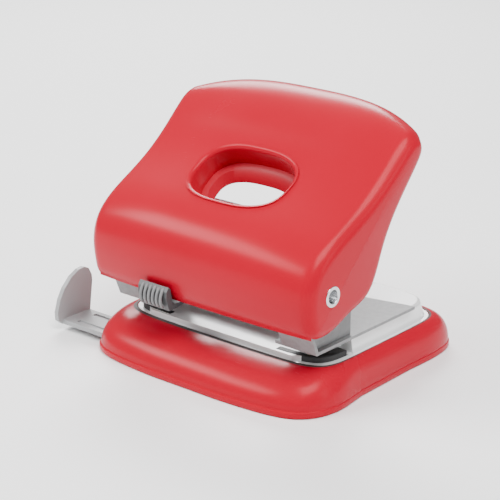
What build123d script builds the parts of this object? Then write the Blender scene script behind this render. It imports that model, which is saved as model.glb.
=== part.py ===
from build123d import *
import math
import os

# A two-hole desk punch. X runs across it, Y is the way the paper goes in, +Z is up, and the origin
# is on the table under the middle of the tray. All lengths are in millimetres.

# Driving dimensions
hole_spacing = 80.0
pin_diameter = 5.5
running_gap = 0.06
sheet = 1.2

# Tray: the foot and the rim are rounded rectangles with this power, joined by a domed shoulder
corner_power = 8
rim_half, rim_front, rim_rear, rim_top = 51.0, -32.2, 45.8, 14.6
foot_half, foot_front, foot_rear, foot_top = 55.8, -52.7, 55.7, 2.6
tray_floor = 1.6
ledge_top = 11.4

# Base plate: rim, paper table and raised platform
plate_gap = 0.3
rim_plate_top = 14.5
table_top = 16.6
platform_top = 21.1
paper_stop = -10.6
pin_line = -22.6

# Upper plate over the paper slot
upper_bottom = 21.2
upper_top = 22.4
wing_half, wing_front, wing_inner = 50.4, -34.2, 30.5
lip_lean, lip_top, lip_inner = 25.0, 31.0, 34.0

# Axle, brackets and pins
axle_y, axle_z = -32.7, 45.5
axle_diameter, axle_bore = 7.0, 5.2
cheek_inner, cheek_outer, cheek_sheet = 31.5, 48.5, 1.4
shelf_bottom, shelf_top = 29.5, 30.9
pin_tip, pin_head_top = 21.4, 45.2
spring_top, spring_turns, spring_wire, spring_radius = 42.6, 5, 0.9, 4.5
nose_radius = 3.0
nose_z = pin_head_top + nose_radius + 0.1

# Handle
handle_half, side_wall = 55.9, 2.2
lever_ear = 53.0

# Finger hole: an oval in the sloping top
hole_length, hole_width = 43.0, 27.0
hole_slope = 35.0
hole_y, hole_z = -17.7, 75.9
collar_depth = 9.0

# Lock slider and paper guide
slider_right, slider_left = -10.2, -25.0
fin_outer, fin_inner = -79.7, -77.6
bar_front, bar_rear, bar_bottom, bar_top, bar_end = -41.0, -25.4, 2.6, 4.6, 28.0


# The shapes below are added to, or cut from, the part that is being built.
def box(low_x, high_x, low_y, high_y, low_z, high_z, mode=Mode.ADD):
    with Locations(((low_x + high_x) / 2, (low_y + high_y) / 2, (low_z + high_z) / 2)):
        Box(high_x - low_x, high_y - low_y, high_z - low_z, mode=mode)


def disc(x, y, low_z, high_z, radius, mode=Mode.ADD):
    with Locations((x, y, (low_z + high_z) / 2)):
        Cylinder(radius, high_z - low_z, mode=mode)


def across(low_x, high_x, y, z, radius, mode=Mode.ADD):
    with Locations(((low_x + high_x) / 2, y, z)):
        Cylinder(radius, high_x - low_x, rotation=(0, 90, 0), mode=mode)


# A closed profile (y, z), extruded between two X positions.
def side_plate(points, low_x, high_x, mode=Mode.ADD):
    with BuildSketch(Plane.YZ.offset(low_x)) as profile:
        with BuildLine():
            Polyline(*points, close=True)
        make_face()
    extrude(profile.sketch, amount=high_x - low_x, mode=mode)


# A closed profile (x, y), extruded upwards between two heights.
def floor_plate(points, low_z, high_z, mode=Mode.ADD):
    with BuildSketch(Plane.XY.offset(low_z)) as profile:
        with BuildLine():
            Polyline(*points, close=True)
        make_face()
    extrude(profile.sketch, amount=high_z - low_z, mode=mode)


def mirrored(points):
    return points + [(-x, y) for x, y in reversed(points)]


# A smooth closed curve. Curves of one loft are spaced by the same reference points, so that the
# surface between them stays simple.
def closed_curve(points, reference):
    distances = [0.0]
    for start, end in zip(reference, reference[1:] + reference[:1]):
        distances.append(distances[-1] + math.dist(start, end))
    corners = [Vector(*point) for point in points]
    add(Edge.make_spline(corners, periodic=True, parameters=distances))


# --- Tray ---
# Half-width of the foot: widest beside the front corners, waisted in the middle.
def foot_side(y):
    return foot_half + 2.6 * math.exp(-(((y + 33) / 16) ** 2)) + 0.6 * math.exp(-(((y - 32) / 14) ** 2))


# A rounded outline between the rim (share 0) and the foot (share 1), moved inwards by inset.
def tray_outline(share, inset=0.0, steps=56):
    points = []
    for step in range(steps):
        angle = 2 * math.pi * (step + 0.5) / steps
        across_x = math.copysign(abs(math.cos(angle)) ** (2 / corner_power), math.cos(angle))
        along_y = math.copysign(abs(math.sin(angle)) ** (2 / corner_power), math.sin(angle))
        bulge = across_x**2 * max(0.0, -along_y)
        rim_y = (rim_front + rim_rear) / 2 + ((rim_rear - rim_front) / 2 - inset) * along_y
        foot_y = (foot_front + foot_rear) / 2 + ((foot_rear - foot_front) / 2 - inset) * along_y
        rim_x = (rim_half - inset) * across_x
        foot_x = (foot_side(foot_y) - inset) * across_x
        rim_y += 1.0 * bulge
        foot_y += 4.0 * bulge
        points.append((rim_x + share * (foot_x - rim_x), rim_y + share * (foot_y - rim_y)))
    return points


def outline_face(height, share, inset=0.0):
    with BuildSketch(Plane.XY.offset(height)) as face:
        with BuildLine():
            closed_curve(tray_outline(share, inset), tray_outline(0.5))
        make_face()
    return face.sketch


# The shoulder is a quarter ellipse from the rim down to the foot.
def shoulder_share(height):
    rise = (height - foot_top) / (rim_top - foot_top)
    return max(0.04, 0.95 * math.sqrt(1 - rise**2))


shoulder_heights = [foot_top - 0.1, 5.0, 7.4, 9.6, 11.4, 12.9, 13.9, rim_top]
cavity_levels = [(tray_floor, 0.88), (5.0, 0.78), (8.0, 0.58), (10.2, 0.26), (ledge_top, 0.0)]
pad_places = [(-38, -34), (38, -34), (-40, 40), (40, 40)]

with BuildPart() as base_tray:
    extrude(outline_face(0, 1.0), amount=foot_top)
    loft([outline_face(height, shoulder_share(height)) for height in shoulder_heights])
    loft([outline_face(height, share, 2.4) for height, share in cavity_levels], mode=Mode.SUBTRACT)
    extrude(outline_face(ledge_top - 0.05, 0.0), amount=6, mode=Mode.SUBTRACT)
    box(-70, -40, bar_front - 0.4, bar_rear + 0.4, bar_bottom - 0.4, bar_top + 0.4, mode=Mode.SUBTRACT)
    for x, y in pad_places:
        disc(x, y, 0, 0.8, 7.0, mode=Mode.SUBTRACT)
base_tray.part.label = "base_tray"

with BuildPart() as anti_slip_pads:
    for x, y in pad_places:
        disc(x, y, 0, 0.8, 7.0)
anti_slip_pads.part.label = "anti_slip_pads"

# Two L-shaped rails hold the bar of the paper guide down on the tray floor.
with BuildPart() as guide_rails:
    for wall, side in ((bar_front - 0.3, -1), (bar_rear + 0.3, 1)):
        low, high = sorted((wall, wall + side * 1.6))
        box(-41, 36, low, high, tray_floor, 5.6)
        low, high = sorted((wall - side * 1.6, wall))
        box(-41, 36, low, high, bar_top + 0.4, 5.6)
guide_rails.part.label = "guide_rails"

# --- Paper guide: a flat bar with grooves and an upright rounded fin ---
fin_outline = [(-41.2, bar_bottom), (-43.4, 4.5), (-43.6, 8.1), (-41.9, 13.4), (-39.3, 17.6), (-35.2, 21.5)]
fin_outline += [(-31.0, 23.6), (-28.0, 24.0), (-25.2, 22.8), (-23.6, 19.6), (-23.4, 17.0), (-24.6, 8.0)]
fin_outline += [(-25.4, bar_bottom)]
with BuildPart() as paper_guide:
    box(fin_outer, bar_end, bar_front, bar_rear, bar_bottom, bar_top)
    side_plate(fin_outline, fin_outer, fin_inner)
    for y in (bar_front + 3.2, bar_rear - 3.2):
        box(fin_inner + 6, bar_end - 4, y - 0.9, y + 0.9, bar_top - 0.6, bar_top + 1, mode=Mode.SUBTRACT)
paper_guide.part.label = "paper_guide"

# --- Base plate ---
# Paper table with slanted front corners; the platform behind it stops the paper.
pocket = [(37.8, -31.0), (52.0, -31.0), (52.0, -12.6), (45.2, -12.6), (45.2, -25.0)]
pad = [(35.8, -31.0), (52.0, -31.0), (52.0, -11.8), (44.0, -11.8), (44.0, -24.2)]


# The plate's outer form, moved inwards by inset and down by drop for its underside.
def plate_form(inset, drop):
    platform_levels = [(ledge_top - drop, 1.6), (14.9 - drop, 1.7), (platform_top - 2 - drop, 2.6),
                       (platform_top - 0.6 - drop, 3.0), (platform_top - drop, 3.9)]
    with BuildPart() as form:
        loft([outline_face(height, 0.0, inside + inset) for height, inside in platform_levels])
        box(-60, 60, paper_stop + inset, 60, 0, 40, mode=Mode.INTERSECT)
        bottom = ledge_top + 0.1 - 4 * drop
        extrude(outline_face(bottom, 0.0, plate_gap + inset), amount=rim_plate_top - drop - bottom)
        corners = [(36.0 - inset, -31.2 + inset), (43.6 - inset, -25.8 + inset), (43.6 - inset, paper_stop + 2)]
        floor_plate(mirrored(corners), ledge_top - drop, table_top - drop)
    return form.part


# Two corner shapes kept inside the rim by inset, between two heights.
def corner_shapes(corners, inset, low_z, high_z):
    for side in (1, -1):
        floor_plate([(side * x, y) for x, y in corners], low_z, high_z)
    extrude(outline_face(low_z, 0.0, inset), amount=high_z - low_z, mode=Mode.INTERSECT)


with BuildPart() as pockets:
    corner_shapes(pocket, 2.2, ledge_top - 1, table_top - 0.2)

rivet_places = [(-26, -4), (26, -4), (-26, 17), (26, 17)]
with BuildPart() as base_plate:
    add(plate_form(0.0, 0.0))
    add(plate_form(sheet, sheet), mode=Mode.SUBTRACT)
    add(pockets.part, mode=Mode.SUBTRACT)
    for x in (-hole_spacing / 2, hole_spacing / 2):
        disc(x, pin_line, 10, 20, pin_diameter / 2 + running_gap, mode=Mode.SUBTRACT)
    for x, y in rivet_places:
        disc(x, y, 15, 25, 1.6, mode=Mode.SUBTRACT)
base_plate.part.label = "base_plate"

with BuildPart() as corner_pads:
    corner_shapes(pad, 1.8, rim_plate_top - sheet - 1.3, rim_plate_top - sheet)
corner_pads.part.label = "corner_pads"

# --- Upper plate: two wings over the die holes, lips leaning forward at their front edges ---
rear_edge = [(50.4, 27.6), (46.0, 26.9), (30.0, 23.4), (12.0, 21.4), (0.0, 21.0)]
upper_outline = [(wing_inner, -17.0), (wing_inner, wing_front), (wing_half, wing_front)] + rear_edge[:-1]
lip_reach = (lip_top - upper_top) * math.tan(math.radians(lip_lean))
lip_side = [(wing_front, upper_bottom), (wing_front + 1.4, upper_bottom), (wing_front + 1.4 - lip_reach, lip_top),
            (wing_front - lip_reach, lip_top)]
bush_bore = 4.0

with BuildPart() as upper_plate:
    floor_plate(mirrored(upper_outline), upper_bottom, upper_top)
    for side in (1, -1):
        low, high = sorted((side * lip_inner, side * wing_half))
        side_plate(lip_side, low, high)
        x = side * hole_spacing / 2
        disc(x, pin_line, 20, 30, bush_bore, mode=Mode.SUBTRACT)
    for x, y in rivet_places:
        disc(x, y, 15, 25, 1.6, mode=Mode.SUBTRACT)
    bracket_rivet_places = [(sx * (hole_spacing / 2 + dx), pin_line + dy)
                            for sx in (1, -1) for dx, dy in ((-4.2, -6.8), (4.2, 6.8), (4.2, -6.8), (-4.2, 6.8))]
    for x, y in bracket_rivet_places:
        disc(x, y, 15, 30, 1.5, mode=Mode.SUBTRACT)
upper_plate.part.label = "upper_plate"

with BuildPart() as plate_rivets:
    for x, y in rivet_places:
        disc(x, y, platform_top - sheet, upper_top + 1.0, 1.6)
        disc(x, y, upper_top, upper_top + 1.0, 3.0)
plate_rivets.part.label = "plate_rivets"

# --- Brackets: base, two cheeks, rear web and pin shelf, folded from one sheet ---
cheek_outline = [(-11.5, upper_top), (-32.2, upper_top), (-36.4, 31.5), (-37.7, 42.0), (-37.6, 46.6), (-36.2, 49.0),
                 (-33.6, 50.4), (-30.8, 50.2), (-28.2, 48.6), (-11.5, 33.0)]
bracket_hole = axle_diameter / 2 + running_gap
brackets = {}
for name, side in (("left", -1), ("right", 1)):
    with BuildPart() as bracket:
        for near in (cheek_inner, cheek_outer - cheek_sheet):
            low, high = sorted((side * near, side * (near + cheek_sheet)))
            side_plate(cheek_outline, low, high)
        low, high = sorted((side * cheek_inner, side * cheek_outer))
        box(low, high, -32.2, -11.5, upper_top, upper_top + sheet)
        box(low, high, -12.9, -11.5, upper_top, 33.0)
        box(low, high, -29.0, -11.5, shelf_bottom, shelf_top)
        across(-60, 60, axle_y, axle_z, bracket_hole, mode=Mode.SUBTRACT)
        x = side * hole_spacing / 2
        disc(x, pin_line, 20, 27, bush_bore, mode=Mode.SUBTRACT)
        disc(x, pin_line, 27, 35, pin_diameter / 2 + 0.25, mode=Mode.SUBTRACT)
        for rivet_x, rivet_y in bracket_rivet_places:
            disc(rivet_x, rivet_y, 20, 26, 1.5, mode=Mode.SUBTRACT)
    brackets[name] = bracket.part
    brackets[name].label = "bracket_" + name

with BuildPart() as bracket_rivets:
    for x, y in bracket_rivet_places:
        disc(x, y, upper_bottom, upper_top + sheet + 1.0, 1.5)
        disc(x, y, upper_top + sheet, upper_top + sheet + 1.0, 2.4)
bracket_rivets.part.label = "bracket_rivets"

# --- Pins, bushes, clips and springs, one of each on either side ---
bushes, pins, clips, springs = {}, {}, {}, {}
for name, side in (("left", -1), ("right", 1)):
    x = side * hole_spacing / 2
    with BuildPart() as bush:
        disc(x, pin_line, upper_bottom, upper_top + sheet + 1.2, bush_bore)
        disc(x, pin_line, upper_top + sheet, upper_top + sheet + 1.2, 4.6)
        disc(x, pin_line, 20, 30, pin_diameter / 2 + running_gap, mode=Mode.SUBTRACT)
    bushes[name] = bush.part
    bushes[name].label = "guide_bush_" + name
    with BuildPart() as pin:
        disc(x, pin_line, pin_tip, pin_head_top - 1.2, pin_diameter / 2)
        disc(x, pin_line, pin_head_top - 1.2, pin_head_top, 3.7)
        # The tip is hollowed in two faces, so that it cuts like scissors.
        across(x - 5, x + 5, pin_line, pin_tip - 1.6, 2.4, mode=Mode.SUBTRACT)
    pins[name] = pin.part
    pins[name].label = "punch_pin_" + name
    with BuildPart() as clip:
        disc(x, pin_line, spring_top, spring_top + 1.0, 5.4)
        disc(x, pin_line, spring_top - 1, spring_top + 2, pin_diameter / 2, mode=Mode.SUBTRACT)
    clips[name] = clip.part
    clips[name].label = "pin_clip_" + name
    spring_height = spring_top - shelf_top - spring_wire
    with BuildPart() as spring:
        with BuildLine(Plane.XY.offset(shelf_top + spring_wire / 2)) as wire:
            Helix(pitch=spring_height / spring_turns, height=spring_height, radius=spring_radius)
        with BuildSketch(Plane(origin=wire.line @ 0, z_dir=wire.line % 0)):
            Circle(spring_wire / 2 - 0.02)
        sweep(path=wire.line, is_frenet=True)
    springs[name] = Pos(x, pin_line, 0) * spring.part
    springs[name].label = "spring_" + name

# --- Lock catch: a tab on the left bracket's inner cheek ---
with BuildPart() as lock_catch:
    box(-cheek_inner, -23.0, -24.0, -17.0, 27.6, 29.0)
    box(-cheek_inner, -cheek_inner + 1.2, -24.0, -17.0, 27.6, 34.5)
lock_catch.part.label = "lock_catch"

# --- Handle ---
# Each row is a point of the side profile (y, z) and how far it moves at the middle of the width,
# where the top is crowned and the rear end arches out.
outer_rows = [
    (-42.3, 31.0, -1.2, 0.0), (-45.0, 38.0, -1.6, 0.0), (-45.6, 46.0, -1.9, 0.4), (-43.0, 54.8, -2.2, 1.8),
    (-35.6, 62.3, -2.0, 2.7), (-25.0, 68.3, -1.9, 2.9), (-12.6, 75.2, -1.9, 2.9), (-0.6, 84.2, -1.6, 3.1),
    (8.4, 92.2, 0.6, 5.0), (14.4, 95.5, 6.0, 7.2), (19.4, 94.0, 9.6, 7.3), (21.2, 89.6, 10.6, 6.3),
    (18.4, 83.4, 9.2, 4.8), (12.0, 75.2, 4.4, 3.0), (5.0, 65.2, 0.2, 0.8), (-0.2, 54.4, 0.0, 0.0),
    (-3.8, 45.0, 0.0, 0.0), (-9.0, 38.2, 0.0, 0.0), (-20.0, 33.9, 0.0, 0.0), (-29.6, 30.2, 0.0, 0.0),
    (-37.6, 29.4, -0.6, 0.0),
]
inner_rows = [
    (-39.4, 22.0, -1.2, 0.0), (-42.6, 38.0, -1.6, 0.0), (-43.3, 46.0, -1.9, 0.4), (-40.8, 53.8, -2.2, 1.8),
    (-34.2, 60.4, -2.0, 2.7), (-23.9, 66.4, -1.9, 2.9), (-11.4, 73.4, -1.9, 2.9), (0.6, 82.0, -1.6, 3.1),
    (7.4, 86.2, 1.2, 4.2), (12.6, 82.4, 5.6, 3.4), (22.0, 70.0, 2.0, 2.0), (28.0, 46.0, 0.0, 0.0),
    (18.0, 22.0, 0.0, 0.0), (-12.0, 12.0, 0.0, 0.0),
]


def crown(x):
    return 1 - abs(x / 54.0) ** 3


# The profile at x, with every point moved inwards by inset.
def handle_profile(rows, x, inset):
    share = max(0.0, crown(x))
    points = [(y + dy * share, z + dz * share) for y, z, dy, dz in rows]
    moved = []
    for index, (y, z) in enumerate(points):
        before, after = points[index - 1], points[(index + 1) % len(points)]
        run, rise = after[0] - before[0], after[1] - before[1]
        length = math.hypot(run, rise)
        moved.append((y + inset * rise / length, z - inset * run / length))
    return moved


def handle_face(rows, x, inset=0.0):
    with BuildSketch(Plane.YZ.offset(x)) as face:
        with BuildLine():
            closed_curve(handle_profile(rows, x, inset), [(y, z) for y, z, _, _ in rows])
        make_face()
    return face.sketch


# The block is lofted through evenly spaced profiles, with a rounded cap at each end.
def handle_block(rows, half, rounding):
    straight = half - rounding
    with BuildPart() as block:
        loft([handle_face(rows, straight * step / 3) for step in range(-3, 4)])
        if rounding:
            for side in (1, -1):
                cap = [(side * (straight + rounding * math.sin(math.radians(angle))),
                        rounding * (1 - math.cos(math.radians(angle)))) for angle in (0, 40, 90)]
                loft([handle_face(rows, x, shrink) for x, shrink in cap], ruled=True)
    return block.part


hole_plane = Plane(origin=(0, hole_y, hole_z), x_dir=(1, 0, 0),
                   z_dir=(0, -math.sin(math.radians(hole_slope)), math.cos(math.radians(hole_slope))))


# A rounded oval prism around the finger hole's axis, between two heights above the top surface.
def oval(length, width, low, high, mode=Mode.ADD):
    with BuildSketch(hole_plane.offset(low)) as profile:
        RectangleRounded(length, width, width * 0.46)
    extrude(profile.sketch, amount=high - low, mode=mode)


outer_block = handle_block(outer_rows, handle_half, 3.4)
inner_block = handle_block(inner_rows, handle_half - side_wall, 0)
boss_places = [(-47.0, -30.0), (47.0, -30.0), (-47.0, -12.0), (47.0, -12.0)]
lever_slope = 16.0
lever_plane = Plane(origin=(0, -21.0, 56.2), x_dir=(1, 0, 0),
                    z_dir=(0, -math.sin(math.radians(lever_slope)), math.cos(math.radians(lever_slope))))


# A cylinder square to the lever's cross plate at a boss, between two heights above it.
def on_lever(x, y, low, high, radius, mode=Mode.ADD):
    along = (y - lever_plane.origin.Y) / math.cos(math.radians(lever_slope))
    with BuildSketch(lever_plane.offset(low)) as profile:
        with Locations((x, along)):
            Circle(radius)
    extrude(profile.sketch, amount=high - low, mode=mode)


lever_sheet = 1.4
# The hollow of the handle: it leaves the collar round the finger hole and the screw bosses standing.
with BuildPart() as hollow:
    add(inner_block)
    oval(hole_length + 3.6, hole_width + 3.6, -collar_depth, 8, mode=Mode.SUBTRACT)
    for x, y in boss_places:
        on_lever(x, y, lever_sheet, 30, 3.4, mode=Mode.SUBTRACT)
        on_lever(x, y, 0, 7.0, 1.25)
    oval(hole_length, hole_width, -12, 12)
    across(-70, 70, axle_y, axle_z, axle_diameter / 2)

with BuildPart() as handle_cover:
    add(outer_block)
    add(hollow.part, mode=Mode.SUBTRACT)
handle_cover.part.label = "handle_cover"

with BuildPart() as handle_liner:
    oval(hole_length + 11, hole_width + 8, -collar_depth - 2.0, -collar_depth)
    oval(hole_length - 7, hole_width - 8, -collar_depth - 4.0, -collar_depth + 2.0, mode=Mode.SUBTRACT)
handle_liner.part.label = "handle_liner"

# The lever: a cross plate, an ear at each end on the axle, and two noses over the pin heads.
ear_outline = [(-37.6, 42.4), (-37.4, 48.4), (-34.4, 52.6), (-8.6, 60.4), (-8.6, 57.6), (-27.4, 44.0),
               (-29.6, 40.8), (-34.8, 40.2)]
with BuildPart() as press_lever:
    for side in (1, -1):
        low, high = sorted((side * lever_ear, side * (lever_ear - lever_sheet)))
        side_plate(ear_outline, low, high)
        low, high = sorted((side * 37.0, side * 43.0))
        across(low, high, pin_line, nose_z, nose_radius)
        rib = [(pin_line - 2.9, nose_z), (pin_line + 2.9, nose_z), (pin_line + 3.6, 56.8), (pin_line - 3.6, 54.8)]
        side_plate(rib, low, high)
    with BuildSketch(lever_plane):
        Rectangle(2 * lever_ear, 26.0)
    extrude(amount=lever_sheet)
    for x, y in boss_places:
        on_lever(x, y, -4, 4, 1.6, mode=Mode.SUBTRACT)
    across(-70, 70, axle_y, axle_z, axle_diameter / 2, mode=Mode.SUBTRACT)
press_lever.part.label = "press_lever"

with BuildPart() as lever_screws:
    for x, y in boss_places:
        on_lever(x, y, -1.5, 0, 2.9)
        on_lever(x, y, -0.5, 6.8, 1.25)
lever_screws.part.label = "lever_screws"

# The axle is a tube whose ends are flared over the handle's sides.
axle_end = handle_half + 0.5
with BuildPart() as axle:
    across(-axle_end, axle_end, axle_y, axle_z, axle_diameter / 2)
    for side in (1, -1):
        low, high = sorted((side * handle_half, side * axle_end))
        across(low, high, axle_y, axle_z, 4.0)
    across(-60, 60, axle_y, axle_z, axle_bore / 2, mode=Mode.SUBTRACT)
axle.part.label = "axle"

with BuildPart() as axle_washers:
    for side in (1, -1):
        low, high = sorted((side * (cheek_outer + 0.3), side * (lever_ear - lever_sheet)))
        across(low, high, axle_y, axle_z, 5.0)
    across(-60, 60, axle_y, axle_z, axle_diameter / 2, mode=Mode.SUBTRACT)
axle_washers.part.label = "axle_washers"

# --- Lock slider: a ribbed thumb pad wrapped under the handle's front edge, with a rear arm ---
arm_side = [(-46.6, 27.6), (-40.0, 28.2), (-26.0, 31.8), (-13.0, 33.6), (-13.0, 35.0), (-26.6, 33.4),
            (-40.0, 29.8), (-46.6, 29.6)]
pad_side = [(-48.8, 29.4), (-48.2, 27.6), (-46.0, 27.6), (-46.0, 29.6), (-46.4, 31.0), (-47.5, 36.6),
            (-48.4, 37.2), (-49.6, 35.6), (-49.8, 33.0)]
with BuildPart() as lock_slider:
    side_plate(pad_side, slider_left, slider_right)
    side_plate(arm_side, -18.0, -10.6)
    side_plate([(-48.2, 27.6), (-41.0, 28.1), (-41.0, 29.7), (-47.0, 29.6)], slider_left, slider_right)
    groove_step = (slider_right - slider_left) / 7
    for rib in range(6):
        x = slider_left + groove_step * (rib + 1)
        box(x - 0.5, x + 0.5, -51, -49.0, 28.6, 36.4, mode=Mode.SUBTRACT)
lock_slider.part.label = "lock_slider"

os.makedirs("parts", exist_ok=True)
finished = [base_tray, anti_slip_pads, guide_rails, paper_guide, base_plate, corner_pads, upper_plate]
finished += [plate_rivets, bracket_rivets, lock_catch, handle_cover, handle_liner, press_lever]
finished += [lever_screws, axle, axle_washers, lock_slider]
pieces = [builder.part for builder in finished]
for group in (brackets, bushes, pins, clips, springs):
    pieces += group.values()
for piece in pieces:
    export_step(piece, "parts/" + piece.label + ".step")
    print(piece.label, round(piece.volume, 1))
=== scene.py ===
import math
import bpy
import bmesh
import numpy as np
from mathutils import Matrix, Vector


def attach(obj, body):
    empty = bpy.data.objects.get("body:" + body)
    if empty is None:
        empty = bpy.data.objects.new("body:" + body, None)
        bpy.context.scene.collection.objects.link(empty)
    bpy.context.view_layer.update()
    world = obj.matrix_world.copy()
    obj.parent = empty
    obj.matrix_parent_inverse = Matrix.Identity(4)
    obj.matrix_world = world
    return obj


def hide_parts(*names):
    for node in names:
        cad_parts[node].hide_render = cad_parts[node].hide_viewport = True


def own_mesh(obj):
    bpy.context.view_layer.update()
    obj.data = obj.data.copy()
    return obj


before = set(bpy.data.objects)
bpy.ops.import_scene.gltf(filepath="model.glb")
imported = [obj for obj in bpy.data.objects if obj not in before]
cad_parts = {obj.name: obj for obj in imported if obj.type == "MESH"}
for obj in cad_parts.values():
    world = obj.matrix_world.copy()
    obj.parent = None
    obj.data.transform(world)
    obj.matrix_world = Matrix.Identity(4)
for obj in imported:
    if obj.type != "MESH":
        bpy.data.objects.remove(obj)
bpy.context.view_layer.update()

mm = 0.001
weldGap, thinEdge = 2e-6, 1e-7  # metres: points closer than this are joined, edges shorter than this go


# shared mesh tools
def fullTurn(count):
    # equal angles once round, without the repeated last one
    return np.linspace(0, 2 * np.pi, count + 1)[:-1]


def gridFaces(start, rows, columns, closedRows, closedColumns):
    # four-cornered faces between neighbours on a grid of points, which are numbered from start
    index = np.arange(rows * columns).reshape(rows, columns) + start
    if closedRows:
        index = np.vstack([index, index[:1]])
    if closedColumns:
        index = np.hstack([index, index[:, :1]])
    quads = np.stack([index[:-1, :-1], index[:-1, 1:], index[1:, 1:], index[1:, :-1]], axis=-1)
    return quads.reshape(-1, 4).tolist()


def joinBlocks(blocks):
    # blocks: (points on a grid of shape (rows, columns, 3), closed along rows, closed along columns)
    verts, faces, start = [], [], 0
    for points, closedRows, closedColumns in blocks:
        rows, columns = points.shape[:2]
        verts.append(points.reshape(-1, 3))
        faces += gridFaces(start, rows, columns, closedRows, closedColumns)
        start += rows * columns
    return np.vstack(verts), faces


def meshPiece(name, body, verts, faces, smoothAngle):
    # verts in metres; equal points are joined and faces turned outwards
    mesh = bpy.data.meshes.new(name)
    mesh.from_pydata(verts.tolist(), [], faces)
    work = bmesh.new()
    work.from_mesh(mesh)
    bmesh.ops.remove_doubles(work, verts=work.verts, dist=weldGap)
    bmesh.ops.dissolve_degenerate(work, edges=work.edges, dist=thinEdge)
    bmesh.ops.recalc_face_normals(work, faces=work.faces)
    work.to_mesh(mesh)
    work.free()
    mesh.polygons.foreach_set("use_smooth", np.ones(len(mesh.polygons), dtype=bool))
    mesh.set_sharp_from_angle(angle=math.radians(smoothAngle))
    piece = bpy.data.objects.new(name, mesh)
    bpy.context.scene.collection.objects.link(piece)
    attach(piece, body)
    return piece


def newPiece(name, body, blocks, smoothAngle):
    return meshPiece(name, body, *joinBlocks(blocks), smoothAngle)


def applyModifiers(piece):
    # the finished surface is written back into the mesh
    ready = bpy.data.meshes.new_from_object(piece.evaluated_get(bpy.context.evaluated_depsgraph_get()))
    piece.modifiers.clear()
    piece.data = ready


def cutWith(piece, cutter):
    # takes the cutter's solid out of the piece, then drops the cutter
    change = piece.modifiers.new("cut", "BOOLEAN")
    change.operation, change.solver, change.object = "DIFFERENCE", "EXACT", cutter
    applyModifiers(piece)
    bpy.data.objects.remove(cutter)


def looseCutter(points, faces):
    mesh = bpy.data.meshes.new("cutter")
    mesh.from_pydata(points.tolist(), [], faces)
    cutter = bpy.data.objects.new("cutter", mesh)
    bpy.context.scene.collection.objects.link(cutter)
    return cutter


def looseBox(low, high):
    xs, ys, zs = zip(low, high)
    corners = np.array([[x, y, z] for x in xs for y in ys for z in zs])
    faces = [(0, 1, 3, 2), (4, 6, 7, 5), (0, 4, 5, 1), (2, 3, 7, 6), (0, 2, 6, 4), (1, 5, 7, 3)]
    return looseCutter(corners, faces)


def looseDrum(centre, radius, half, count=48):
    # a plain cylinder along x
    angle = fullTurn(count)
    ring = np.stack([centre[0] + radius * np.cos(angle), centre[1] + radius * np.sin(angle)], axis=-1)
    points = np.vstack([np.column_stack([np.full(count, side * half), ring]) for side in (-1, 1)]) * mm
    faces = [(k, (k + 1) % count, count + (k + 1) % count, count + k) for k in range(count)]
    return looseCutter(points, faces + [tuple(range(count - 1, -1, -1)), tuple(range(count, 2 * count))])


def closedSpline(rows, reference, where):
    # cubic through all rows, closed, with knots spaced by the distances between the reference points
    gaps = np.linalg.norm(np.roll(reference, -1, axis=0) - reference, axis=1)
    knots = np.concatenate([[0.0], np.cumsum(gaps)])
    count = len(rows)
    system = np.zeros((count, count))
    order = np.arange(count)
    before, after = np.roll(gaps, 1), gaps
    system[order, (order - 1) % count] = before
    system[order, order] = 2 * (before + after)
    system[order, (order + 1) % count] = after
    ahead = (np.roll(rows, -1, axis=0) - rows) / after[:, None]
    behind = (rows - np.roll(rows, 1, axis=0)) / before[:, None]
    bend = np.linalg.solve(system, 6 * (ahead - behind))
    place = np.mod(where, knots[-1])
    span = np.clip(np.searchsorted(knots, place, side="right") - 1, 0, count - 1)
    width = gaps[span][..., None]
    left = (knots[span + 1] - place)[..., None]
    right = (place - knots[span])[..., None]
    nextOne = (span + 1) % count
    curve = (bend[span] * left**3 + bend[nextOne] * right**3) / (6 * width)
    curve = curve + (rows[span] / width - bend[span] * width / 6) * left
    return curve + (rows[nextOne] / width - bend[nextOne] * width / 6) * right


# material tools
def addNode(tree, kind, place, **values):
    node = tree.nodes.new(kind)
    node.location = place
    for name, value in values.items():
        if name in node.inputs:
            node.inputs[name].default_value = value
        else:
            setattr(node, name, value)
    return node


def newGroup(name, inputs, outputs):
    group = bpy.data.node_groups.new(name, "ShaderNodeTree")
    for label, kind, value in inputs:
        socket = group.interface.new_socket(label, in_out="INPUT", socket_type=kind)
        if value is not None:
            socket.default_value = value
    for label, kind in outputs:
        group.interface.new_socket(label, in_out="OUTPUT", socket_type=kind)
    start = addNode(group, "NodeGroupInput", (-900, 0))
    end = addNode(group, "NodeGroupOutput", (700, 0))
    return group, start, end


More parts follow.
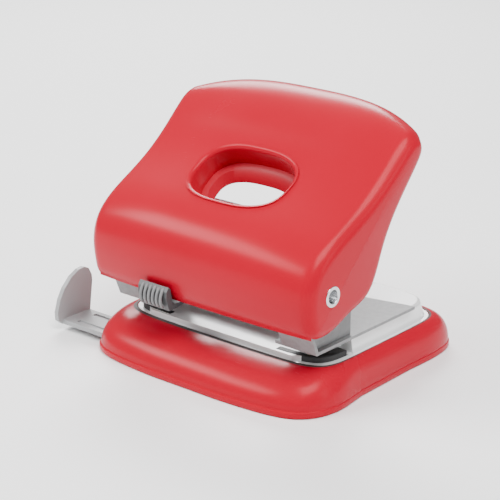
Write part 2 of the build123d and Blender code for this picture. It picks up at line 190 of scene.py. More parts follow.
def buildGrain():
    # fine moulded or sprayed grain: a bump normal and a slow variation mask
    group, start, end = newGroup("surfaceGrain", [
        ("Fine Scale", "NodeSocketFloat", 2600.0), ("Slow Scale", "NodeSocketFloat", 22.0),
        ("Bump", "NodeSocketFloat", 0.1), ("Depth", "NodeSocketFloat", 0.00005)],
        [("Mask", "NodeSocketFloat"), ("Normal", "NodeSocketVector")])
    coords = addNode(group, "ShaderNodeTexCoord", (-900, 300))
    fine = addNode(group, "ShaderNodeTexNoise", (-600, 200), Detail=3.0, Roughness=0.6)
    slow = addNode(group, "ShaderNodeTexNoise", (-600, -200), Detail=4.0, Roughness=0.55)
    bump = addNode(group, "ShaderNodeBump", (200, 100))
    links = group.links
    links.new(coords.outputs["Object"], fine.inputs["Vector"])
    links.new(coords.outputs["Object"], slow.inputs["Vector"])
    links.new(start.outputs["Fine Scale"], fine.inputs["Scale"])
    links.new(start.outputs["Slow Scale"], slow.inputs["Scale"])
    links.new(start.outputs["Bump"], bump.inputs["Strength"])
    links.new(start.outputs["Depth"], bump.inputs["Distance"])
    links.new(fine.outputs["Fac"], bump.inputs["Height"])
    links.new(slow.outputs["Fac"], end.inputs["Mask"])
    links.new(bump.outputs["Normal"], end.inputs["Normal"])
    return group


def buildWear():
    # handling marks: sparse fine scratches in one mask, and dust that settles on upward faces in another
    group, start, end = newGroup("handlingMarks", [
        ("Scratch Scale", "NodeSocketFloat", 90.0), ("Scratches", "NodeSocketFloat", 0.15),
        ("Dust", "NodeSocketFloat", 0.1)],
        [("Scratch", "NodeSocketFloat"), ("Dust", "NodeSocketFloat")])
    coords = addNode(group, "ShaderNodeTexCoord", (-900, 300))
    stretch = addNode(group, "ShaderNodeMapping", (-700, 200))
    stretch.inputs["Rotation"].default_value = (0.2, 0.3, 0.6)
    stretch.inputs["Scale"].default_value = (1.0, 14.0, 6.0)
    lines = addNode(group, "ShaderNodeTexNoise", (-500, 200), Detail=2.0, Roughness=0.4)
    thin = addNode(group, "ShaderNodeMapRange", (-280, 200))
    thin.inputs["From Min"].default_value, thin.inputs["From Max"].default_value = 0.66, 0.72
    amount = addNode(group, "ShaderNodeMath", (0, 200), operation="MULTIPLY")
    facing = addNode(group, "ShaderNodeNewGeometry", (-700, -200))
    upward = addNode(group, "ShaderNodeSeparateXYZ", (-500, -200))
    specks = addNode(group, "ShaderNodeTexNoise", (-500, -400), Scale=700.0, Detail=4.0, Roughness=0.7)
    settled = addNode(group, "ShaderNodeMath", (-250, -250), operation="MULTIPLY")
    dusty = addNode(group, "ShaderNodeMath", (0, -250), operation="MULTIPLY", use_clamp=True)
    links = group.links
    links.new(coords.outputs["Object"], stretch.inputs["Vector"])
    links.new(stretch.outputs["Vector"], lines.inputs["Vector"])
    links.new(start.outputs["Scratch Scale"], lines.inputs["Scale"])
    links.new(lines.outputs["Fac"], thin.inputs["Value"])
    links.new(thin.outputs["Result"], amount.inputs[0])
    links.new(start.outputs["Scratches"], amount.inputs[1])
    links.new(coords.outputs["Object"], specks.inputs["Vector"])
    links.new(facing.outputs["Normal"], upward.inputs["Vector"])
    links.new(upward.outputs["Z"], settled.inputs[0])
    links.new(specks.outputs["Fac"], settled.inputs[1])
    links.new(settled.outputs["Value"], dusty.inputs[0])
    links.new(start.outputs["Dust"], dusty.inputs[1])
    links.new(amount.outputs["Value"], end.inputs["Scratch"])
    links.new(dusty.outputs["Value"], end.inputs["Dust"])
    return group


dustColor = (0.75, 0.73, 0.7, 1.0)
surfaceGrain = buildGrain()
handlingMarks = buildWear()


def makeMaterial(name, look):
    # colour drifts slowly between two shades, scratches and dust lift roughness, grain gives the normal
    material = bpy.data.materials.new(name)
    material.use_nodes = True
    tree = material.node_tree
    tree.nodes.clear()
    output = addNode(tree, "ShaderNodeOutputMaterial", (900, 0))
    shader = addNode(tree, "ShaderNodeBsdfPrincipled", (600, 0), **look.get("shader", {}))
    grain = addNode(tree, "ShaderNodeGroup", (-600, 0), node_tree=surfaceGrain)
    marks = addNode(tree, "ShaderNodeGroup", (-600, -300), node_tree=handlingMarks)
    for label, value in look.get("grain", {}).items():
        grain.inputs[label].default_value = value
    for label, value in look.get("marks", {}).items():
        marks.inputs[label].default_value = value
    shade = addNode(tree, "ShaderNodeMix", (-250, 200), data_type="RGBA")
    shade.inputs["A"].default_value = (*look["dark"], 1.0)
    shade.inputs["B"].default_value = (*look["light"], 1.0)
    dusted = addNode(tree, "ShaderNodeMix", (50, 200), data_type="RGBA")
    dusted.inputs["B"].default_value = dustColor
    rough = addNode(tree, "ShaderNodeMapRange", (-250, -100))
    rough.inputs["To Min"].default_value, rough.inputs["To Max"].default_value = look["rough"]
    worn = addNode(tree, "ShaderNodeMath", (50, -100), operation="ADD", use_clamp=True)
    dull = addNode(tree, "ShaderNodeMath", (300, -100), operation="ADD", use_clamp=True)
    links = tree.links
    links.new(grain.outputs["Mask"], shade.inputs["Factor"])
    links.new(shade.outputs["Result"], dusted.inputs["A"])
    links.new(marks.outputs["Dust"], dusted.inputs["Factor"])
    links.new(dusted.outputs["Result"], shader.inputs["Base Color"])
    links.new(grain.outputs["Mask"], rough.inputs["Value"])
    links.new(rough.outputs["Result"], worn.inputs[0])
    links.new(marks.outputs["Scratch"], worn.inputs[1])
    links.new(worn.outputs["Value"], dull.inputs[0])
    links.new(marks.outputs["Dust"], dull.inputs[1])
    links.new(dull.outputs["Value"], shader.inputs["Roughness"])
    links.new(grain.outputs["Normal"], shader.inputs["Normal"])
    links.new(shader.outputs["BSDF"], output.inputs["Surface"])
    return material


looks = {
    "glossyRed": {"dark": (0.40, 0.0, 0.014), "light": (0.45, 0.0, 0.019), "rough": (0.22, 0.30),
                  "grain": {"Fine Scale": 1800.0, "Bump": 0.04},
                  "marks": {"Scratch Scale": 160.0, "Scratches": 0.004, "Dust": 0.005},
                  "shader": {"Specular IOR Level": 0.24, "IOR": 1.48,
                             "Specular Tint": (1.0, 0.36, 0.36, 1.0)}},
    "innerRed": {"dark": (0.42, 0.0, 0.015), "light": (0.47, 0.0, 0.02), "rough": (0.38, 0.5),
                 "grain": {"Bump": 0.12}, "marks": {"Scratches": 0.05, "Dust": 0.03},
                 "shader": {"Specular IOR Level": 0.2}},
    "paleSteel": {"dark": (0.86, 0.87, 0.87), "light": (0.94, 0.95, 0.95), "rough": (0.16, 0.26),
                  "grain": {"Fine Scale": 1500.0, "Bump": 0.05},
                  "marks": {"Scratch Scale": 160.0, "Scratches": 0.04, "Dust": 0.01},
                  "shader": {"Metallic": 0.25, "IOR": 1.5}},
    "greyTexture": {"dark": (0.17, 0.173, 0.176), "light": (0.34, 0.345, 0.35), "rough": (0.45, 0.6),
                    "grain": {"Fine Scale": 1500.0, "Slow Scale": 420.0, "Bump": 0.6, "Depth": 0.0002},
                    "marks": {"Scratches": 0.05, "Dust": 0.04}, "shader": {"Metallic": 0.3}},
    "greyPlastic": {"dark": (0.05, 0.052, 0.054), "light": (0.075, 0.077, 0.08), "rough": (0.36, 0.48),
                    "grain": {"Bump": 0.12}, "marks": {"Scratches": 0.06, "Dust": 0.03},
                    "shader": {"IOR": 1.47}},
    # painted gap shade: near-black red put on the tray rim's top faces in place of the shade in the gap
    # between rim and plate
    "paintedGapShade": {"dark": (0.016, 0.003, 0.004), "light": (0.024, 0.004, 0.005), "rough": (0.5, 0.7)},
    # a darker copy of greyTexture: on the brackets it is painted shade that offsets the light on their
    # upright faces; the slider's ribs use it as their own grey
    "ribGreyAndBracketShade": {"dark": (0.15, 0.152, 0.155), "light": (0.26, 0.263, 0.266), "rough": (0.5, 0.65),
                 "grain": {"Fine Scale": 1500.0, "Slow Scale": 420.0, "Bump": 0.6, "Depth": 0.0002},
                 "marks": {"Scratches": 0.05, "Dust": 0.02}, "shader": {"Metallic": 0.3}},
    "paleGuide": {"dark": (0.30, 0.305, 0.31), "light": (0.36, 0.365, 0.37), "rough": (0.34, 0.46),
                  "grain": {"Bump": 0.1}, "marks": {"Scratches": 0.06, "Dust": 0.02},
                  "shader": {"IOR": 1.47}},
    "blackPlastic": {"dark": (0.012, 0.012, 0.013), "light": (0.022, 0.022, 0.023), "rough": (0.4, 0.55),
                     "grain": {"Bump": 0.15}, "marks": {"Scratches": 0.05, "Dust": 0.02}},
    "rubber": {"dark": (0.018, 0.018, 0.018), "light": (0.03, 0.03, 0.03), "rough": (0.75, 0.9),
               "grain": {"Bump": 0.4}, "marks": {"Scratches": 0.0, "Dust": 0.08}},
    "zincSheet": {"dark": (0.50, 0.51, 0.52), "light": (0.62, 0.63, 0.65), "rough": (0.28, 0.42),
                  "grain": {"Slow Scale": 60.0, "Bump": 0.08}, "marks": {"Scratches": 0.2, "Dust": 0.02},
                  "shader": {"Metallic": 1.0}},
    "brightSteel": {"dark": (0.60, 0.61, 0.62), "light": (0.72, 0.73, 0.74), "rough": (0.14, 0.24),
                    "grain": {"Bump": 0.03}, "marks": {"Scratches": 0.12, "Dust": 0.0},
                    "shader": {"Metallic": 1.0}},
    "brass": {"dark": (0.52, 0.36, 0.12), "light": (0.64, 0.46, 0.18), "rough": (0.24, 0.36),
              "grain": {"Bump": 0.05}, "marks": {"Scratches": 0.1, "Dust": 0.0}, "shader": {"Metallic": 1.0}},
}
materials = {name: makeMaterial(name, look) for name, look in looks.items()}
print("materials", len(materials))


def dress(piece, materialName):
    piece.data.materials.clear()
    piece.data.materials.append(materials[materialName])


# handle shell
handle = {
    "half": 55.9, "insideHalf": 53.7, "rounding": 4.8, "crownHalf": 54.0,
    "axle": (-32.7, 45.5), "axleRadius": 3.55,
    "hole": {"length": 43.0, "width": 27.0, "slope": 35.0, "centre": (-17.7, 75.9), "lip": 1.8, "bead": 0.6,
             "collarDepth": 9.0, "collarWall": 1.8, "rows": (4, 9), "margin": 4.0,
             "around": 72, "rings": 10, "lipSteps": 8, "wallSteps": 5},
    # side profile (y, z), and how far each point moves in y and z at the middle of the width
    "outer": [(-42.3, 31.0, -1.2, 0.0), (-45.0, 38.0, -1.6, 0.0), (-45.6, 46.0, -1.9, 0.4),
              (-43.0, 54.8, -2.2, 1.8), (-35.6, 62.3, -2.0, 2.7), (-25.0, 68.3, -1.9, 2.9),
              (-12.6, 75.2, -1.9, 2.9), (-0.6, 84.2, -1.6, 3.1), (8.4, 92.2, 0.6, 5.0),
              (14.4, 95.5, 6.0, 7.2), (19.4, 94.0, 9.6, 7.3), (21.2, 89.6, 10.6, 6.3),
              (18.4, 83.4, 9.2, 4.8), (12.0, 75.2, 4.4, 3.0), (5.0, 65.2, 0.2, 0.8),
              (-0.2, 54.4, 0.0, 0.0), (-3.8, 45.0, 0.0, 0.0), (-9.0, 38.2, 0.0, 0.0),
              (-20.0, 33.9, 0.0, 0.0), (-29.6, 30.2, 0.0, 0.0), (-37.6, 29.4, -0.6, 0.0)],
    "inner": [(-39.4, 22.0, -1.2, 0.0), (-42.6, 38.0, -1.6, 0.0), (-43.3, 46.0, -1.9, 0.4),
              (-40.8, 53.8, -2.2, 1.8), (-34.2, 60.4, -2.0, 2.7), (-23.9, 66.4, -1.9, 2.9),
              (-11.4, 73.4, -1.9, 2.9), (0.6, 82.0, -1.6, 3.1), (7.4, 86.2, 1.2, 4.2),
              (12.6, 82.4, 5.6, 3.4), (22.0, 70.0, 2.0, 2.0), (28.0, 46.0, 0.0, 0.0),
              (18.0, 22.0, 0.0, 0.0), (-12.0, 12.0, 0.0, 0.0)],
    # the rows, with a fraction, where the outer skin ends and the inner skin starts and ends
    "outerEndRow": 12.55, "innerStartRow": 0.55, "innerEndRow": 9.1,
    "stepsAlong": 150, "stepsAcross": 60, "roundSteps": 9, "edgeSteps": 90,
    "tangentStep": 0.05, "halvings": 40,
    "flare": (42.0, 96.0, 0.035),  # from height, to height, share of the width added
}


def handlePoint(rows, where, x, inset=0.0):
    # side profile plus the crown's share of each row's shift, moved along the in-plane normal by inset;
    # the share is one minus the cube of x over the crown's half width
    table = np.array(rows)
    reference = table[:, :2]
    share = np.maximum(0.0, 1 - np.abs(x / handle["crownHalf"]) ** 3)[..., None]

    def curve(at):
        both = closedSpline(table, reference, at)
        return both[..., :2] + both[..., 2:] * share

    spot = curve(where)
    run = curve(where + handle["tangentStep"]) - curve(where - handle["tangentStep"])
    run = run / np.linalg.norm(run, axis=-1, keepdims=True)
    inward = np.stack([run[..., 1], -run[..., 0]], axis=-1)
    spot = spot + inward * np.asarray(inset)[..., None]
    return np.stack([x + 0 * spot[..., 0], spot[..., 0], spot[..., 1]], axis=-1)


def rowDistance(rows, index):
    # distance along the profile to a row, with a fraction for places between rows
    places = np.array(rows)[:, :2]
    gaps = np.linalg.norm(np.roll(places, -1, axis=0) - places, axis=1)
    whole = int(index)
    return gaps[:whole].sum() + gaps[whole % len(gaps)] * (index - whole)


def ovalEdge(length, width, angle):
    # rounded oval: half the length times the cosine's root and half the width times the sine's, signs kept,
    # where angle turns once round it and the root is the power 2 / 2.7
    power = 2.7
    across = np.sign(np.cos(angle)) * np.abs(np.cos(angle)) ** (2 / power) * length / 2
    along = np.sign(np.sin(angle)) * np.abs(np.sin(angle)) ** (2 / power) * width / 2
    return across, along


def onSkin(rows, across, along, nearStart, nearEnd):
    # distance along the profile at which the skin passes through each oval point, by halving
    hole = handle["hole"]
    slope = math.radians(hole["slope"])
    direction = np.array([math.cos(slope), math.sin(slope)])
    low = np.full(across.shape, nearStart)
    high = np.full(across.shape, nearEnd)
    for _ in range(handle["halvings"]):
        middle = (low + high) / 2
        spot = handlePoint(rows, middle, across)
        offset = (spot[..., 1:] - np.array(hole["centre"])) @ direction - along
        low = np.where(offset < 0, middle, low)
        high = np.where(offset < 0, high, middle)
    return (low + high) / 2


def skinWithHole(rows, startAt, endAt, stations, insets, holeSize):
    # the skin's grid, with its cells round the finger hole swapped for rings that shrink to the hole's edge
    where = np.linspace(startAt, endAt, handle["stepsAlong"])
    x = np.array(stations)
    grid = handlePoint(rows, where[:, None] + 0 * x[None, :], x[None, :] + 0 * where[:, None],
                       np.array(insets)[None, :])
    hole = handle["hole"]
    span = [rowDistance(rows, row) for row in hole["rows"]]
    across, along = ovalEdge(*holeSize, fullTurn(hole["around"]))
    edge = onSkin(rows, across, along, *span)
    low, high = edge.min() - hole["margin"], edge.max() + hole["margin"]
    first, last = np.searchsorted(where, low) - 1, np.searchsorted(where, high)
    left = np.searchsorted(x, across.min() - hole["margin"]) - 1
    right = np.searchsorted(x, across.max() + hole["margin"])
    band = grid[first : last + 1]
    kept = (grid[: first + 1], grid[last:], band[:, : left + 1], band[:, right:])
    blocks = [(part, False, False) for part in kept]
    # the frame of cells round the hole, walked once from its low right corner: right, high, left, low
    rightSide = [(row, right) for row in range(first, last)]
    highSide = [(last, column) for column in range(right, left, -1)]
    leftSide = [(row, left) for row in range(last, first, -1)]
    lowSide = [(first, column) for column in range(left, right)]
    walk = np.array(rightSide + highSide + leftSide + lowSide)
    frameWhere, frameX = where[walk[:, 0]], x[walk[:, 1]]
    middleWhere = (where[first] + where[last]) / 2
    turn = np.unwrap(np.arctan2((frameWhere - middleWhere) / (where[last] - where[first]),
                                frameX / (x[right] - x[left])))
    frameAcross, frameAlong = ovalEdge(*holeSize, turn)
    frameEdge = onSkin(rows, frameAcross, frameAlong, *span)
    blend = np.linspace(0, 1, hole["rings"])[:, None]
    ringWhere = frameWhere[None, :] * (1 - blend) + frameEdge[None, :] * blend
    ringX = frameX[None, :] * (1 - blend) + frameAcross[None, :] * blend
    blocks.append((handlePoint(rows, ringWhere, ringX), False, True))
    return blocks, grid, turn


def holeFloor(length, width, turn, height):
    # an oval ring at one height above the top's reference plane, square to the hole's axis
    hole = handle["hole"]
    slope = math.radians(hole["slope"])
    across, along = ovalEdge(length, width, turn)
    y = hole["centre"][0] + along * math.cos(slope) - height * math.sin(slope)
    z = hole["centre"][1] + along * math.sin(slope) + height * math.cos(slope)
    return np.stack([across, y, z], axis=-1)


def handleColumns():
    # places across the width and the skin's step in at each: none, then a quarter round at both sides
    rounding, inside = handle["rounding"], handle["insideHalf"]
    straight = handle["half"] - rounding
    turns = np.radians(np.linspace(0, 90, handle["roundSteps"]))
    capX = straight + rounding * np.sin(turns)
    capInset = rounding * (1 - np.cos(turns))
    middle = np.linspace(-straight, straight, handle["stepsAcross"] + 1)
    insideInset = rounding - math.sqrt(rounding**2 - (inside - straight) ** 2)
    outX = np.concatenate([-capX[:0:-1], middle, capX[1:], [-inside, inside]])
    outInset = np.concatenate([capInset[:0:-1], 0 * middle, capInset[1:], [insideInset, insideInset]])
    order = np.argsort(outX)
    return outX[order], outInset[order]


def collarRings(holeEdge):
    # from the skin's hole edge: a quarter round into the hole, the collar's wall, and its foot's outer edge
    hole = handle["hole"]
    lip, depth, wall = hole["lip"], hole["collarDepth"], hole["collarWall"]
    halfLength, halfWidth = hole["length"] / 2, hole["width"] / 2
    slope = math.radians(hole["slope"])
    direction = np.array([0.0, math.cos(slope), math.sin(slope)])
    normal = np.array([0.0, -math.sin(slope), math.cos(slope)])
    centre = np.array([0.0, *hole["centre"]])
    flat = holeEdge - centre
    across, along, rise = flat[:, 0], flat @ direction, flat @ normal

    def ring(acrossPart, alongPart, height):
        sideways = np.stack([acrossPart, 0 * across, 0 * across], axis=-1)
        return centre + sideways + alongPart[:, None] * direction + np.asarray(height)[..., None] * normal

    shrinkAcross, shrinkAlong = halfLength / (halfLength + lip), halfWidth / (halfWidth + lip)
    rings = [holeEdge]
    for turn in np.radians(np.linspace(0, 90, hole["lipSteps"])):
        part = 1 - math.sin(turn)
        rings.append(ring(across * (shrinkAcross + (1 - shrinkAcross) * part),
                          along * (shrinkAlong + (1 - shrinkAlong) * part),
                          rise + hole["bead"] - lip * (1 - math.cos(turn))))
    inAcross, inAlong = across * shrinkAcross, along * shrinkAlong
    wallTop = rise + hole["bead"] - lip
    for part in np.linspace(1 / hole["wallSteps"], 1, hole["wallSteps"]):
        rings.append(ring(inAcross, inAlong, wallTop * (1 - part) - depth * part))
    rings.append(ring(inAcross * ((halfLength + wall) / halfLength),
                      inAlong * ((halfWidth + wall) / halfWidth), -depth))
    return np.array(rings)


def assembleHandle():
    hole, inside = handle["hole"], handle["insideHalf"]
    outer, inner = handle["outer"], handle["inner"]
    slack = 1e-9
    outX, outInset = handleColumns()
    rollEnd, loopEnd = rowDistance(outer, handle["outerEndRow"]), rowDistance(outer, len(outer))
    lipSize = (hole["length"] + 2 * hole["lip"], hole["width"] + 2 * hole["lip"])
    blocks, skin, _ = skinWithHole(outer, 0.0, rollEnd, outX, outInset, lipSize)
    blocks.append((collarRings(blocks[-1][0][-1]), False, True))
    # inner skin, with its own hole where the collar meets it
    inColumns = (outX >= -inside - slack) & (outX <= inside + slack)
    innerX = outX[inColumns]
    startIn, endIn = rowDistance(inner, handle["innerStartRow"]), rowDistance(inner, handle["innerEndRow"])
    collarSize = (hole["length"] + 2 * hole["collarWall"], hole["width"] + 2 * hole["collarWall"])
    innerBlocks, innerSkin, turn = skinWithHole(inner, startIn, endIn, innerX, 0 * innerX, collarSize)
    blocks += innerBlocks
    collarTop = innerBlocks[-1][0][-1]
    collarFoot = holeFloor(*collarSize, turn, -hole["collarDepth"])
    blocks.append((np.array([collarTop, collarFoot]), False, True))
    # front foot and rear roll between the two skins
    blocks.append((np.array([skin[0][inColumns], innerSkin[0]]), False, False))
    blocks.append((np.array([skin[-1][inColumns], innerSkin[-1]]), False, False))
    # the lower edge of each side wall, and the flat faces inside and outside it
    lowWhere = np.linspace(rollEnd, loopEnd, handle["edgeSteps"])
    faceLoops = []
    for side in (-1, 1):
        wall = np.sort(outX[side * outX >= inside - slack])
        wallInset = np.interp(wall, outX, outInset)
        edge = handlePoint(outer, lowWhere[:, None] + 0 * wall[None, :],
                           wall[None, :] + 0 * lowWhere[:, None], wallInset[None, :])
        blocks.append((edge, False, False))
        tip, near = (0, -1) if side < 0 else (-1, 0)
        faceLoops.append(np.vstack([skin[:, tip], edge[1:-1, tip]]))
        faceLoops.append(np.vstack([edge[:, near], innerSkin[:, tip]]))
    return blocks, faceLoops


def handlePiece():
    blocks, faceLoops = assembleHandle()
    place, faces = joinBlocks(blocks)
    for loop in faceLoops:
        faces.append(list(range(len(place), len(place) + len(loop))))
        place = np.vstack([place, loop])
    low, high, amount = handle["flare"]
    rise = np.clip((place[:, 2] - low) / (high - low), 0, 1)  # x grows by amount, eased from low to high
    place[:, 0] *= 1 + amount * rise**2 * (3 - 2 * rise)
    return meshPiece("handleShell", "handle", place * mm, faces, smoothAngle=40.0)


handleShell = handlePiece()
cutWith(handleShell, looseDrum(handle["axle"], handle["axleRadius"], half=60.0))
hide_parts("handle_cover")
dress(handleShell, "glossyRed")
print("handle shell", len(handleShell.data.polygons))

# liner under the finger hole
# length, width, height along the hole's axis, and shift up the slope, of each oval
liner = {"rings": [(52.0, 34.0, -9.05, 0.0), (42.0, 25.5, -9.05, 0.0), (39.0, 22.0, -9.6, -0.3),
                   (36.6, 18.4, -12.4, -1.5), (35.8, 17.8, -13.2, -1.6), (36.8, 18.6, -13.9, -1.6),
                   (40.0, 22.5, -11.3, -0.3), (52.0, 34.0, -11.1, 0.0)], "around": 96}


def buildLiner():
    # a closed ring of ovals square to the hole's axis: in and down to the opening's edge, and back below
    turn = fullTurn(liner["around"])
    slope = math.radians(handle["hole"]["slope"])
    upSlope = np.array([0.0, math.cos(slope), math.sin(slope)])
    rings = np.array([holeFloor(length, width, turn, height) + shift * upSlope
                      for length, width, height, shift in liner["rings"]])
    return newPiece("handleLiner", "handle", [(rings * mm, True, True)], smoothAngle=30.0)


handleLiner = buildLiner()
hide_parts("handle_liner")
dress(handleLiner, "innerRed")

# front corner pads
pads = {"half": 51.0, "front": -32.2, "rear": 45.8, "inset": 2.3, "from": 27.0, "back": -13.5, "low": 12.0,
        "top": 16.75, "cornerSteps": 240, "edge": 0.1, "edgeShare": 0.35,
        "inside": [(44.4, -13.5), (44.2, -21.0), (43.2, -25.2), (40.5, -26.8), (27.0, -27.1)], "round": 0.35}


def buildPad(side):
    # the rim's superellipse, stepped in, round the corner, closed by an inner path
    angle = np.linspace(-np.pi / 2, 0, pads["cornerSteps"])
    across = (pads["half"] - pads["inset"]) * np.cos(angle) ** (2 / tray["power"])
    middle, reach = (pads["front"] + pads["rear"]) / 2, (pads["rear"] - pads["front"]) / 2 - pads["inset"]
    along = middle - reach * np.abs(np.sin(angle)) ** (2 / tray["power"])
    keep = (across >= pads["from"]) & (along <= pads["back"])
    edge = np.vstack([np.stack([across, along], axis=-1)[keep], pads["inside"]])
    centre = edge.mean(axis=0)
    span = np.linalg.norm(edge - centre, axis=1, keepdims=True)
    rings = []
    for height, inset in ((pads["low"], 0.0), (pads["top"] - pads["round"], 0.0),
                          (pads["top"] - pads["edge"], pads["round"] * pads["edgeShare"]),
                          (pads["top"], pads["round"])):
        spot = edge + (centre - edge) / span * inset
        rings.append(np.column_stack([side * spot[:, 0], spot[:, 1], np.full(len(spot), height)]))
    count = len(edge)
    verts = np.vstack(rings) * mm
    faces = gridFaces(0, len(rings), count, False, True)
    return verts, faces + [list(range(count)), list(range(len(verts) - count, len(verts)))]


# ribs on the lock slider
ribs = {"first": -12.4, "pitch": 2.05, "count": 6, "radius": 0.62,
        "along": 19, "around": 16, "fit": 4, "pinch": 8,
        "path": [(-48.4, 36.6), (-49.6, 35.6), (-50.6, 33.8), (-50.8, 31.8), (-50.3, 30.0), (-49.2, 28.7)]}


def buildRibs():
    # a round section swept along a bowed path in the side plane, pinched to nothing at both ends
    path = np.array(ribs["path"])
    run = np.linspace(0, 1, len(path))
    fine = np.linspace(0, 1, ribs["along"])
    # one polynomial of the fourth degree for y and one for z, fitted to the path, which rounds its corners
    fits = [np.polyfit(run, path[:, axis], ribs["fit"]) for axis in (0, 1)]
    spot = np.stack([np.polyval(fit, fine) for fit in fits], axis=-1)
    tangent = np.gradient(spot, axis=0)
    tangent /= np.linalg.norm(tangent, axis=1, keepdims=True)
    normal = np.stack([-tangent[:, 1], tangent[:, 0]], axis=-1)
    size = ribs["radius"] * np.sqrt(np.clip(1 - (2 * fine - 1) ** ribs["pinch"], 0, 1))
    angle = fullTurn(ribs["around"])
    blocks = []
    for number in range(ribs["count"]):
        x = ribs["first"] - ribs["pitch"] * number
        out = size[:, None] * np.sin(angle)
        place = spot[:, None, :] + normal[:, None, :] * out[..., None]
        blocks.append((np.dstack([x + size[:, None] * np.cos(angle), place]) * mm, False, True))
    return newPiece("sliderRibs", "lock", blocks, smoothAngle=50.0)


# return springs
coil = {"x": 40.0, "y": -22.6, "radius": 4.5, "wire": 0.45, "low": 30.9, "high": 42.6,
        "turns": 6.5, "steps": 260, "around": 12, "closed": 0.1, "pinch": 200, "keep": 0.466}


def buildSpring(side):
    # a round wire on a helix whose climb eases to nothing in the closed turns at both ends
    run = np.linspace(0, 1, coil["steps"])
    closed, climbing = coil["closed"], 1 - 2 * coil["closed"]
    climb = np.clip((run - closed) / climbing, 0, 1)
    rise = climb * climbing + closed + closed * (2 * run - 1) * (np.abs(2 * run - 1) > climbing)
    rise = (rise - rise[0]) / (rise[-1] - rise[0])
    turn = 2 * np.pi * coil["turns"] * run
    z = coil["low"] + coil["wire"] + rise * (coil["high"] - coil["low"] - 2 * coil["wire"])
    angle = fullTurn(coil["around"])
    thick = coil["wire"] * np.sqrt(np.clip(1 - (2 * run - 1) ** coil["pinch"], 0, 1))[:, None]
    reach = coil["radius"] + thick * np.cos(angle)
    place = np.dstack([side * coil["x"] + reach * np.cos(turn)[:, None],
                       coil["y"] + reach * np.sin(turn)[:, None], z[:, None] + thick * np.sin(angle)])
    name = "returnSpringLeft" if side < 0 else "returnSpringRight"
    return newPiece(name, "frame", [(place * mm, False, True)], smoothAngle=60.0)


for side, label in ((-1, "left"), (1, "right")):
    spring = buildSpring(side)
    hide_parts("spring_" + label)
    dress(spring, "brightSteel")
    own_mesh(spring)

# tray shell
tray = {
    "power": 8, "rim": (51.0, -32.2, 45.8), "foot": (55.8, -52.7, 55.7),
    "footTop": 2.6, "rimTop": 14.6, "ledge": 11.4, "floor": 1.6, "wall": 2.4, "around": 360,
    "shoulderTurns": (4, 88, 22), "shoulderShares": (0.04, 0.95),  # degrees and rings; least and most
    "slot": ((-70, -41.4, 2.2), (-40, -25.0, 5.0)), "gapShadeAbove": 14.5, "footBulge": 4.0,
    "sideBulges": ((2.6, -33.0, 16.0), (0.6, 32.0, 14.0)),  # how far out, at which y, how long
}


def trayRing(height, share, inset=0.0):
    # superellipse rim and foot, mixed by share; the front bulges with x squared, and the foot's side gets a
    # bell curve near the front and one near the rear
    angle = 2 * np.pi * (np.arange(tray["around"]) + 0.5) / tray["around"]
    across = np.sign(np.cos(angle)) * np.abs(np.cos(angle)) ** (2 / tray["power"])
    along = np.sign(np.sin(angle)) * np.abs(np.sin(angle)) ** (2 / tray["power"])
    bulge = across**2 * np.maximum(0.0, -along)
    rimHalf, rimFront, rimRear = tray["rim"]
    footHalf, footFront, footRear = tray["foot"]
    rimY = (rimFront + rimRear) / 2 + ((rimRear - rimFront) / 2 - inset) * along
    footY = (footFront + footRear) / 2 + ((footRear - footFront) / 2 - inset) * along
    side = footHalf
    for out, at, length in tray["sideBulges"]:
        side = side + out * np.exp(-(((footY - at) / length) ** 2))
    rimX, footX = (rimHalf - inset) * across, (side - inset) * across
    rimY, footY = rimY + bulge, footY + tray["footBulge"] * bulge
    x, y = rimX + share * (footX - rimX), rimY + share * (footY - rimY)
    return np.stack([x, y, height + 0 * angle], axis=-1)


def buildTray():
    # levels: (height, share of the foot's outline, step in); the shoulder follows a quarter ellipse
    low, high = tray["footTop"], tray["rimTop"]
    wall, (least, most) = tray["wall"], tray["shoulderShares"]
    rises = np.sin(np.radians(np.linspace(*tray["shoulderTurns"])))
    shoulder = [(low + (high - low) * rise, max(least, most * math.sqrt(1 - rise**2)), 0.0) for rise in rises]
    levels = [(0.0, 1.0, 0.5), (0.35, 1.0, 0.1), (0.8, 1.0, 0.0), (low - 0.7, 1.0, 0.0),
              (low - 0.25, 1.0, 0.12), (low, 1.0, 0.45), (low + 0.05, 0.965, 0.1)]
    levels += shoulder + [(high, 0.03, 0.0), (high - 0.05, 0.0, 0.0),
                          (tray["ledge"], 0.0, 0.0), (tray["ledge"], 0.0, wall),
                          (10.2, 0.26, wall), (8.0, 0.58, wall), (5.0, 0.78, wall),
                          (tray["floor"], 0.88, wall)]
    rings = np.array([trayRing(*level) for level in levels]) * mm
    count = rings.shape[1]
    verts = rings.reshape(-1, 3)
    faces = gridFaces(0, len(levels), count, False, True)
    faces.append(list(range(count)))
    faces.append(list(range(len(verts) - count, len(verts))))
    return meshPiece("trayShell", "tray", verts, faces, smoothAngle=35.0)


trayShell = buildTray()
cutWith(trayShell, looseBox(*(np.array(corner) * mm for corner in tray["slot"])))
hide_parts("base_tray")
dress(trayShell, "glossyRed")
trayShell.data.materials.append(materials["paintedGapShade"])  # painted shade: the rim's top faces are coloured near black to stand for the shadowed gap between rim and plate
# faces whose centre lies above gapShadeAbove get the painted gap shade
faceCentres = np.zeros(len(trayShell.data.polygons) * 3)
trayShell.data.polygons.foreach_get("center", faceCentres)
gapShadeFaces = (faceCentres[2::3] > tray["gapShadeAbove"] * mm).astype(np.int32)
trayShell.data.polygons.foreach_set("material_index", gapShadeFaces)

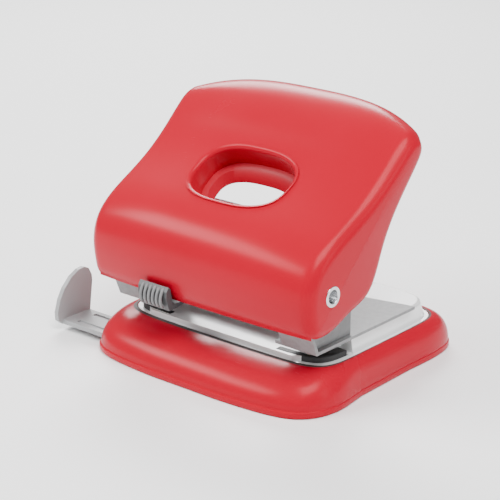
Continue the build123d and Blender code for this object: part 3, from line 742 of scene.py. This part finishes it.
# the pads are made here, because they follow the tray's outline
padParts = [buildPad(side) for side in (-1, 1)]
padVerts = np.vstack([part[0] for part in padParts])
offset = len(padParts[0][0])
padFaces = padParts[0][1] + [[corner + offset for corner in face] for face in padParts[1][1]]
cornerPads = meshPiece("cornerPads", "frame", padVerts, padFaces, smoothAngle=40.0)
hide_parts("corner_pads")
dress(cornerPads, "blackPlastic")
sliderRibs = buildRibs()
dress(sliderRibs, "ribGreyAndBracketShade")
print("tray shell", len(trayShell.data.polygons))

# CAD nodes that keep their shape
nodeLooks = {
    "anti_slip_pads": "rubber", "guide_rails": "greyPlastic", "paper_guide": "paleGuide",
    "base_plate": "paleSteel", "upper_plate": "greyTexture", "plate_rivets": "zincSheet",
    # the brackets are the upper plate's grey, painted darker as shade
    "bracket_left": "ribGreyAndBracketShade", "bracket_right": "ribGreyAndBracketShade", "bracket_rivets": "zincSheet",
    "guide_bush_left": "brass", "guide_bush_right": "brass", "lock_catch": "zincSheet",
    "punch_pin_left": "brightSteel", "punch_pin_right": "brightSteel",
    "pin_clip_left": "zincSheet", "pin_clip_right": "zincSheet", "press_lever": "zincSheet",
    "lever_screws": "zincSheet", "axle": "brightSteel", "axle_washers": "blackPlastic",
    "lock_slider": "greyPlastic",
}
softEdges = {"base_plate": 0.5, "paper_guide": 0.6, "lock_slider": 0.35, "press_lever": 0.2,
             "bracket_left": 0.2, "bracket_right": 0.2, "lock_catch": 0.2, "guide_rails": 0.3,
             "axle": 0.2}  # millimetres
softEdgeAngle, softEdgeSteps = 40, 3
for nodeName, lookName in nodeLooks.items():
    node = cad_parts[nodeName]
    node.data.materials.clear()
    node.data.materials.append(materials[lookName])
    if nodeName in softEdges:
        weld = node.modifiers.new("weld", "WELD")
        weld.merge_threshold = weldGap
        bevel = node.modifiers.new("softEdge", "BEVEL")
        bevel.width, bevel.segments = softEdges[nodeName] * mm, softEdgeSteps
        bevel.limit_method, bevel.angle_limit = "ANGLE", math.radians(softEdgeAngle)
        bevel.harden_normals = True
print("nodes dressed", len(nodeLooks))

# stage, light and camera
stage = {"floor": 3.0, "floorColor": (0.97, 0.97, 0.97), "drop": 0.0001, "lightAim": (0, 0, 0.05),
         "sensor": 36.0, "camera": (0.4004, -0.4817, 0.2633),
         "target": (-0.0110, 0.0, 0.0392), "lens": 121.18, "world": 0.3}


def plainMaterial(name, color, rough):
    material = bpy.data.materials.new(name)
    material.use_nodes = True
    shader = material.node_tree.nodes["Principled BSDF"]
    shader.inputs["Base Color"].default_value = (*color, 1.0)
    shader.inputs["Roughness"].default_value = rough
    return material


def buildStage():
    half, level = stage["floor"], -stage["drop"]
    mesh = bpy.data.meshes.new("floor")
    mesh.from_pydata([(-half, -half, level), (half, -half, level), (half, half, level), (-half, half, level)],
                     [], [(0, 1, 2, 3)])
    floor = bpy.data.objects.new("floor", mesh)
    bpy.context.scene.collection.objects.link(floor)
    mesh.materials.append(plainMaterial("floorPale", stage["floorColor"], 0.6))
    world = bpy.data.worlds.new("studio")
    world.use_nodes = True
    world.node_tree.nodes["Background"].inputs["Color"].default_value = (1.0, 1.0, 1.0, 1.0)
    world.node_tree.nodes["Background"].inputs["Strength"].default_value = stage["world"]
    bpy.context.scene.world = world


def addLight(name, place, size, power):
    data = bpy.data.lights.new(name, "AREA")
    data.shape, data.size, data.size_y, data.energy = "RECTANGLE", size[0], size[1], power
    light = bpy.data.objects.new(name, data)
    light.location = place
    light.rotation_mode = "QUATERNION"
    light.rotation_quaternion = (Vector(stage["lightAim"]) - Vector(place)).to_track_quat("-Z", "Y")
    bpy.context.scene.collection.objects.link(light)


buildStage()
addLight("keySoftbox", (-0.62, -0.62, 0.72), (0.75, 0.3), 12.0)
addLight("topSoftbox", (0.5, -0.25, 1.15), (0.7, 0.7), 24.0)
addLight("backSoftbox", (-0.62, 0.62, 0.62), (0.6, 0.35), 12.0)
addLight("sideStrip", (1.0, 0.15, 0.4), (0.2, 0.6), 1.6)
cameraData = bpy.data.cameras.new("productCamera")
cameraData.lens, cameraData.sensor_width = stage["lens"], stage["sensor"]
productCamera = bpy.data.objects.new("productCamera", cameraData)
productCamera.location = stage["camera"]
productCamera.rotation_mode = "QUATERNION"
toTarget = Vector(stage["target"]) - Vector(stage["camera"])
productCamera.rotation_quaternion = toTarget.to_track_quat("-Z", "Y")
bpy.context.scene.collection.objects.link(productCamera)
bpy.context.scene.camera = productCamera
